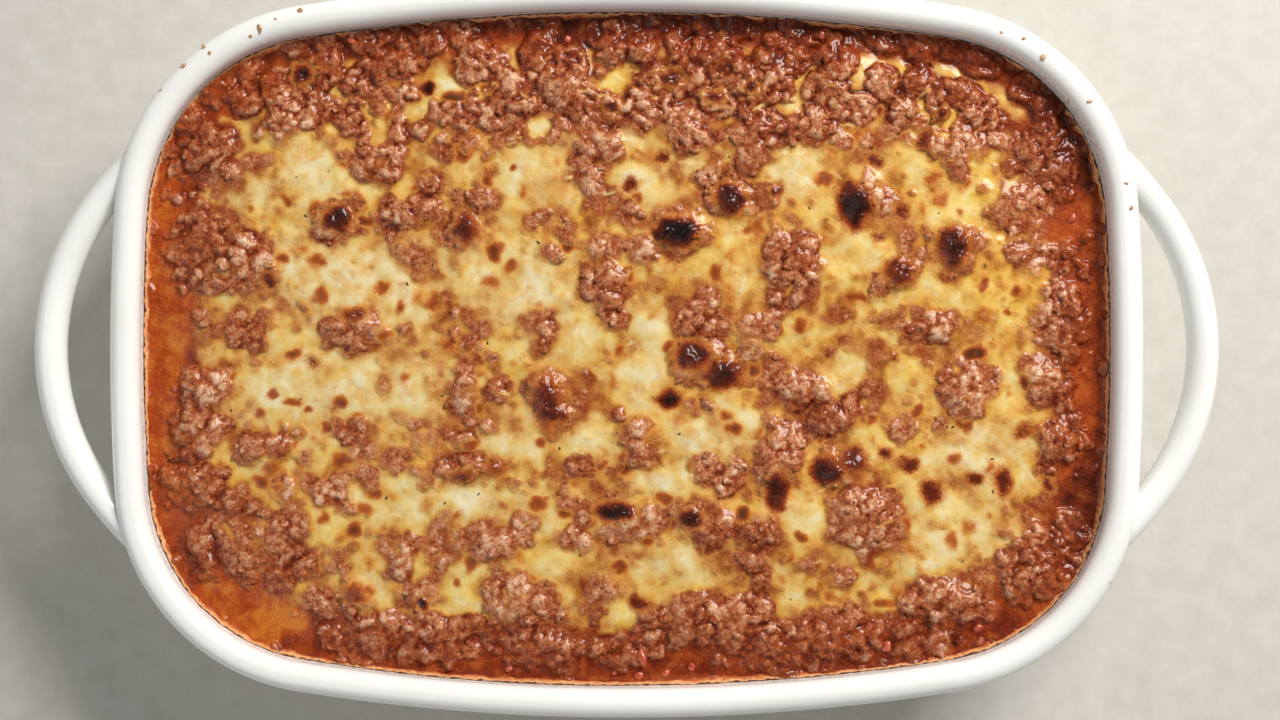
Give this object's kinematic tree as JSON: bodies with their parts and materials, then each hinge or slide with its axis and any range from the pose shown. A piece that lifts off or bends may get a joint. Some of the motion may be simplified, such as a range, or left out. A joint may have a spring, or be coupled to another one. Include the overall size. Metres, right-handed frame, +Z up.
{
  "type": "polenta lasagna in a baking dish",
  "caption": "Baked polenta lasagna with browned mince and melted cheese, whole in a white stoneware dish with a loop handle at each end.",
  "frame": {"origin": "on the table under the middle of the dish", "axes": "+X along the dish to one handle, +Y across the dish, +Z up out of its mouth"},
  "size_m": [0.401, 0.248, 0.07],
  "materials": {
    "white_glaze": "gloss",
    "baked_meat_sauce": "oily, browned crumbs in red sauce",
    "melted_cheese": "soft gloss, toasted in spots"
  },
  "bodies": {
    "root": {"dish": "white_glaze", "lasagna": "baked_meat_sauce", "melted_cheese": "melted_cheese"}
  },
  "joints": []
}
